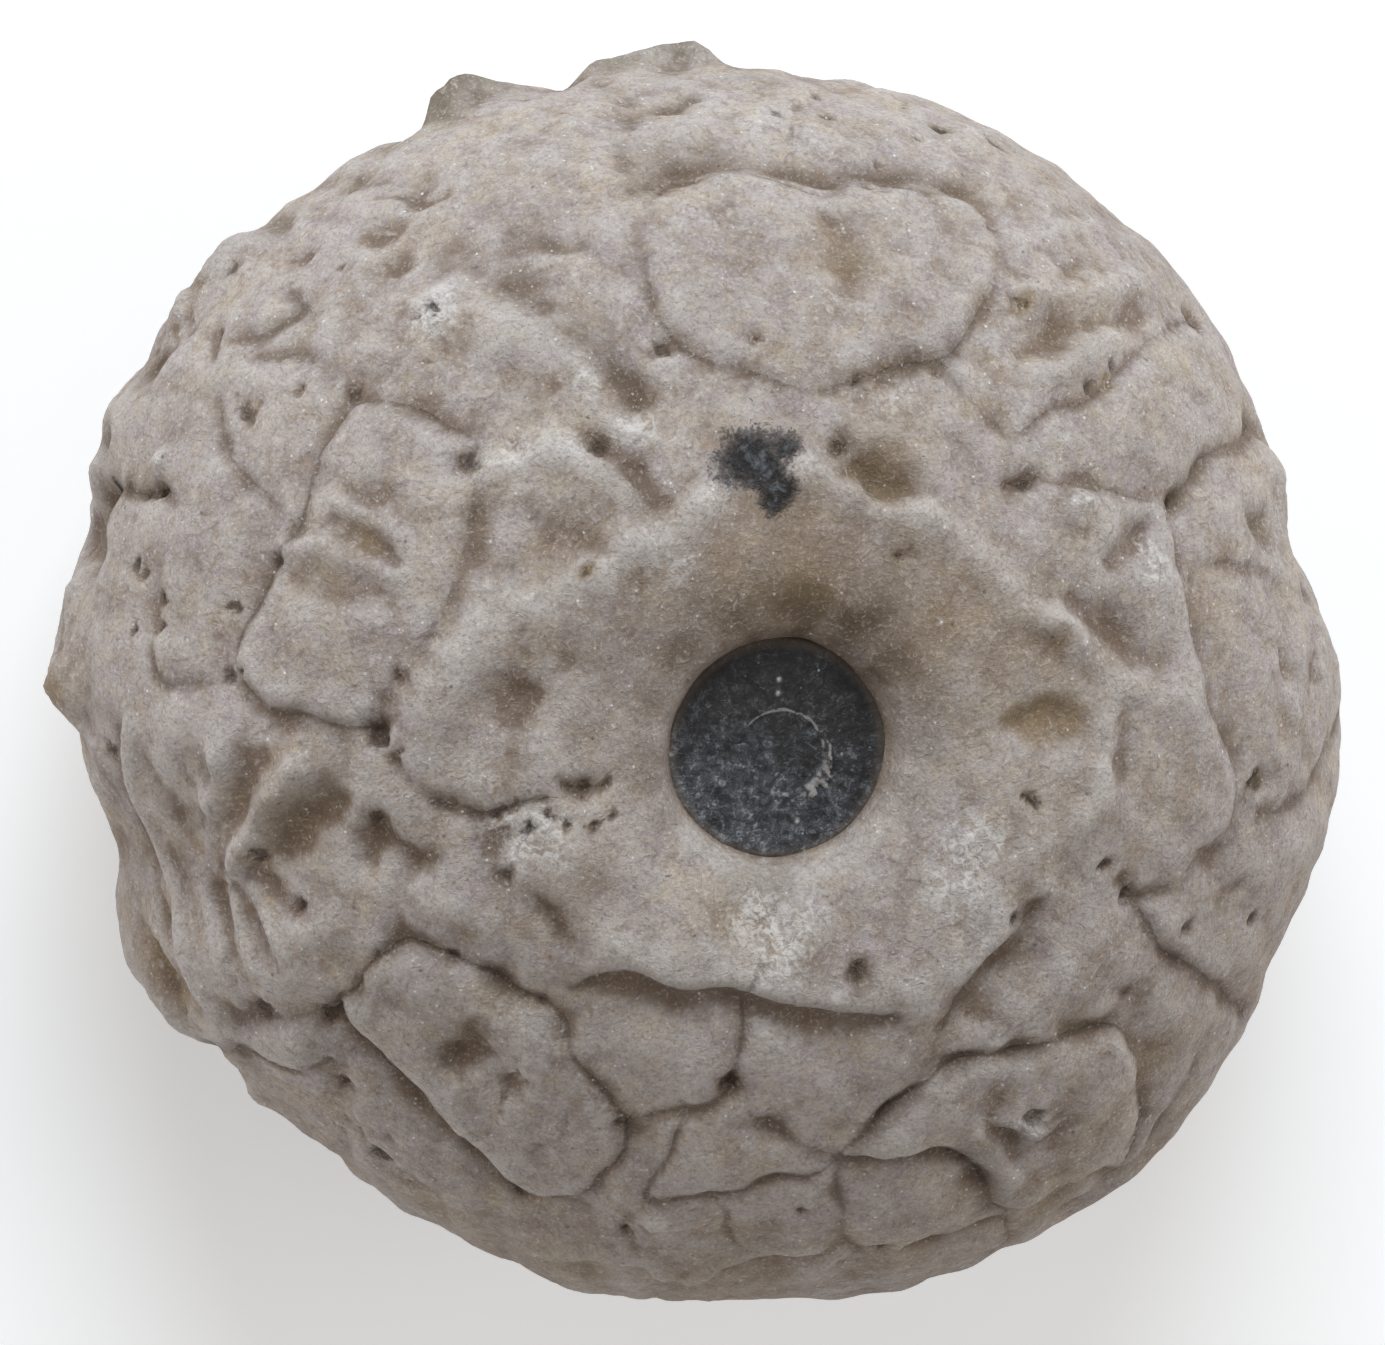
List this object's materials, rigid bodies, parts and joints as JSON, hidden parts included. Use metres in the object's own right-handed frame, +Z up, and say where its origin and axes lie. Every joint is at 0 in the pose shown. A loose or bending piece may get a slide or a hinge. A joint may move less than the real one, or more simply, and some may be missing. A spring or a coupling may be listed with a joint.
{
  "type": "fossil crinoid",
  "caption": "Fossil crinoid calyx: a low rounded cup of fused polygonal plates with a sunken stem end and a dark disc in its socket.",
  "frame": {"origin": "middle of the bounding box at its lowest level, on the flat patch it rests on", "axes": "+Z up along the stem axis, out of the stem end; +Y towards the largest single plate"},
  "size_m": [0.0404, 0.0394, 0.0235],
  "materials": {
    "calcite_plates": "matt warm grey calcite, darker brown in the seams and pits, thin pale crust in places",
    "dark_stem_disc": "dull charcoal mineral, grainy, with a pale broken ring edge"
  },
  "bodies": {
    "root": {"calyx": "calcite_plates", "stem_stub": "dark_stem_disc"}
  },
  "joints": []
}
